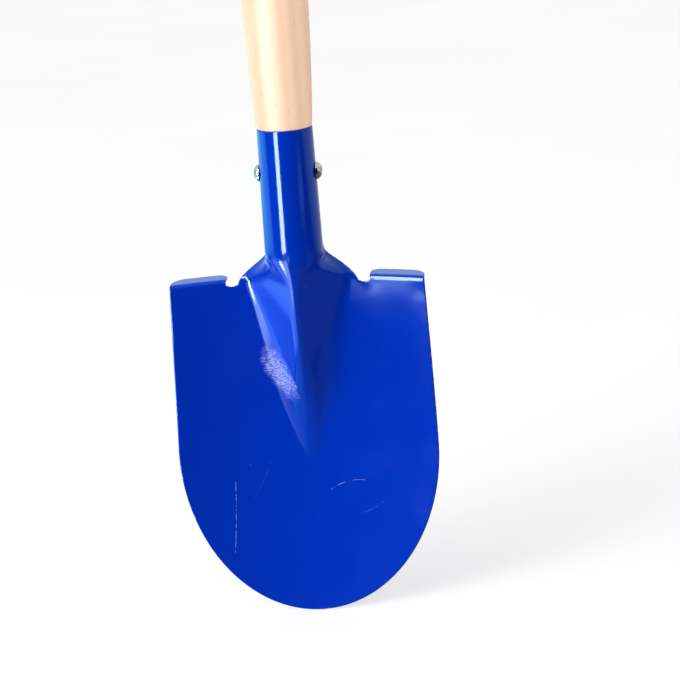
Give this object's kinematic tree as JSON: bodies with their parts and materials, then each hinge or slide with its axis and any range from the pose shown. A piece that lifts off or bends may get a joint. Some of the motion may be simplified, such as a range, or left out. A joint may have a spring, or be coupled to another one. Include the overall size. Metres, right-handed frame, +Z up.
{
  "type": "sand shovel",
  "caption": "Child's sand shovel: dished painted steel blade with folded foot treads and a riveted open-backed socket, on a turned wooden shaft with a cross grip.",
  "frame": {"origin": "centre of the object's box at its lowest point, which is the tip of the blade, below the axis of the handle", "axes": "+Z up along the handle from blade to grip, -Y out of the dished front of the blade, +X to the right seen from the front, along the grip bar"},
  "size_m": [0.1184, 0.03, 0.665],
  "materials": {
    "blue_paint": "glossy royal blue paint on pressed steel sheet",
    "shaft_wood": "pale beech, smooth turned",
    "grip_wood": "pale beech, smooth turned",
    "dowel_wood": "darker hardwood, flush end grain",
    "rivet_steel": "polished plated steel"
  },
  "bodies": {
    "root": {"shovel_head": "blue_paint", "handle_shaft": "shaft_wood", "cross_rivet": "rivet_steel", "grip_bar": "grip_wood", "grip_dowel": "dowel_wood"}
  },
  "joints": []
}
